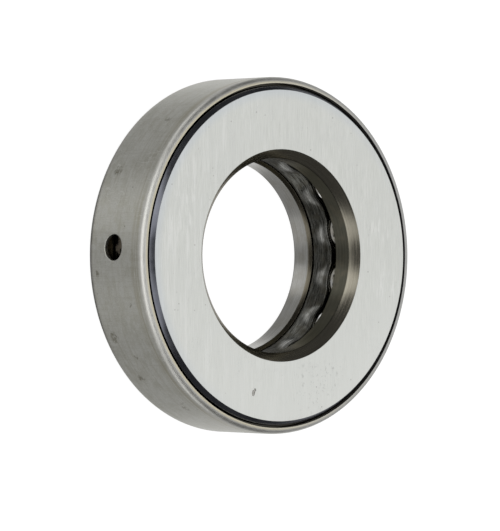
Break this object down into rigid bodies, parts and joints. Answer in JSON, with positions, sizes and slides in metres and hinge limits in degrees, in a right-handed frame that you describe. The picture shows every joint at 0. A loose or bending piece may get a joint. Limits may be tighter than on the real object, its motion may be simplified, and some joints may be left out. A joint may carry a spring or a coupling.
{
  "type": "thrust ball bearing",
  "caption": "Flat ring bearing that carries axial load: two grooved steel washers run on caged balls inside a thin steel band with an oil hole.",
  "frame": {"origin": "on the bearing's axis, in the plane of the rear washer's back face", "axes": "+Z along the axis, out of the front washer's ground face; the oil hole is on the -X side, 2.5 degrees towards +Y"},
  "size_m": [0.0582, 0.0582, 0.0159],
  "materials": {
    "band_steel": "drawn sheet steel, satin, lightly mottled with fine handling scratches",
    "front_washer_steel": "surface-ground face with fine straight lines, turned and hardened bore",
    "rear_washer_steel": "surface-ground back face, turned and hardened bore",
    "cage_steel": "dark oiled pressed steel with drawing streaks round its walls",
    "ball_steel": "mirror-polished"
  },
  "bodies": {
    "banded_washer": {"band": "band_steel", "rear_washer": "rear_washer_steel"},
    "front_washer": {"front_washer": "front_washer_steel"},
    "cage": {"cage": "cage_steel"},
    "ball_01": {"ball_01": "ball_steel"},
    "ball_02": {"ball_02": "ball_steel"},
    "ball_03": {"ball_03": "ball_steel"},
    "ball_04": {"ball_04": "ball_steel"},
    "ball_05": {"ball_05": "ball_steel"},
    "ball_06": {"ball_06": "ball_steel"},
    "ball_07": {"ball_07": "ball_steel"},
    "ball_08": {"ball_08": "ball_steel"},
    "ball_09": {"ball_09": "ball_steel"},
    "ball_10": {"ball_10": "ball_steel"},
    "ball_11": {"ball_11": "ball_steel"},
    "ball_12": {"ball_12": "ball_steel"},
    "ball_13": {"ball_13": "ball_steel"},
    "ball_14": {"ball_14": "ball_steel"},
    "ball_15": {"ball_15": "ball_steel"}
  },
  "joints": [
    {"name": "front_washer_spin", "type": "hinge", "parent": "banded_washer", "child": "front_washer", "pos_m": [0, 0, 0.0134], "axis": [0, 0, 1], "continuous": true},
    {"name": "cage_spin", "type": "hinge", "parent": "banded_washer", "child": "cage", "pos_m": [0, 0, 0.00794], "axis": [0, 0, 1], "continuous": true},
    {"name": "ball_01_roll", "type": "hinge", "parent": "cage", "child": "ball_01", "pos_m": [0.02093, 0.00445, 0.00794], "axis": [0.9781, 0.2079, 0], "continuous": true},
    {"name": "ball_02_roll", "type": "hinge", "parent": "cage", "child": "ball_02", "pos_m": [0.01731, 0.01258, 0.00794], "axis": [0.809, 0.5878, 0], "continuous": true},
    {"name": "ball_03_roll", "type": "hinge", "parent": "cage", "child": "ball_03", "pos_m": [0.0107, 0.01853, 0.00794], "axis": [0.5, 0.866, 0], "continuous": true},
    {"name": "ball_04_roll", "type": "hinge", "parent": "cage", "child": "ball_04", "pos_m": [0.00224, 0.02128, 0.00794], "axis": [0.1045, 0.9945, 0], "continuous": true},
    {"name": "ball_05_roll", "type": "hinge", "parent": "cage", "child": "ball_05", "pos_m": [-0.00661, 0.02035, 0.00794], "axis": [-0.309, 0.9511, 0], "continuous": true},
    {"name": "ball_06_roll", "type": "hinge", "parent": "cage", "child": "ball_06", "pos_m": [-0.01432, 0.0159, 0.00794], "axis": [-0.6691, 0.7431, 0], "continuous": true},
    {"name": "ball_07_roll", "type": "hinge", "parent": "cage", "child": "ball_07", "pos_m": [-0.01955, 0.0087, 0.00794], "axis": [-0.9135, 0.4067, 0], "continuous": true},
    {"name": "ball_08_roll", "type": "hinge", "parent": "cage", "child": "ball_08", "pos_m": [-0.0214, 0, 0.00794], "axis": [-1, 0, 0], "continuous": true},
    {"name": "ball_09_roll", "type": "hinge", "parent": "cage", "child": "ball_09", "pos_m": [-0.01955, -0.0087, 0.00794], "axis": [-0.9135, -0.4067, 0], "continuous": true},
    {"name": "ball_10_roll", "type": "hinge", "parent": "cage", "child": "ball_10", "pos_m": [-0.01432, -0.0159, 0.00794], "axis": [-0.6691, -0.7431, 0], "continuous": true},
    {"name": "ball_11_roll", "type": "hinge", "parent": "cage", "child": "ball_11", "pos_m": [-0.00661, -0.02035, 0.00794], "axis": [-0.309, -0.9511, 0], "continuous": true},
    {"name": "ball_12_roll", "type": "hinge", "parent": "cage", "child": "ball_12", "pos_m": [0.00224, -0.02128, 0.00794], "axis": [0.1045, -0.9945, 0], "continuous": true},
    {"name": "ball_13_roll", "type": "hinge", "parent": "cage", "child": "ball_13", "pos_m": [0.0107, -0.01853, 0.00794], "axis": [0.5, -0.866, 0], "continuous": true},
    {"name": "ball_14_roll", "type": "hinge", "parent": "cage", "child": "ball_14", "pos_m": [0.01731, -0.01258, 0.00794], "axis": [0.809, -0.5878, 0], "continuous": true},
    {"name": "ball_15_roll", "type": "hinge", "parent": "cage", "child": "ball_15", "pos_m": [0.02093, -0.00445, 0.00794], "axis": [0.9781, -0.2079, 0], "continuous": true}
  ],
  "couplings": [
    {"joint": "cage_spin", "follows": "front_washer_spin", "ratio": 0.5},
    {"joint": "ball_01_roll", "follows": "front_washer_spin", "ratio": -2.6961},
    {"joint": "ball_02_roll", "follows": "front_washer_spin", "ratio": -2.6961},
    {"joint": "ball_03_roll", "follows": "front_washer_spin", "ratio": -2.6961},
    {"joint": "ball_04_roll", "follows": "front_washer_spin", "ratio": -2.6961},
    {"joint": "ball_05_roll", "follows": "front_washer_spin", "ratio": -2.6961},
    {"joint": "ball_06_roll", "follows": "front_washer_spin", "ratio": -2.6961},
    {"joint": "ball_07_roll", "follows": "front_washer_spin", "ratio": -2.6961},
    {"joint": "ball_08_roll", "follows": "front_washer_spin", "ratio": -2.6961},
    {"joint": "ball_09_roll", "follows": "front_washer_spin", "ratio": -2.6961},
    {"joint": "ball_10_roll", "follows": "front_washer_spin", "ratio": -2.6961},
    {"joint": "ball_11_roll", "follows": "front_washer_spin", "ratio": -2.6961},
    {"joint": "ball_12_roll", "follows": "front_washer_spin", "ratio": -2.6961},
    {"joint": "ball_13_roll", "follows": "front_washer_spin", "ratio": -2.6961},
    {"joint": "ball_14_roll", "follows": "front_washer_spin", "ratio": -2.6961},
    {"joint": "ball_15_roll", "follows": "front_washer_spin", "ratio": -2.6961}
  ]
}
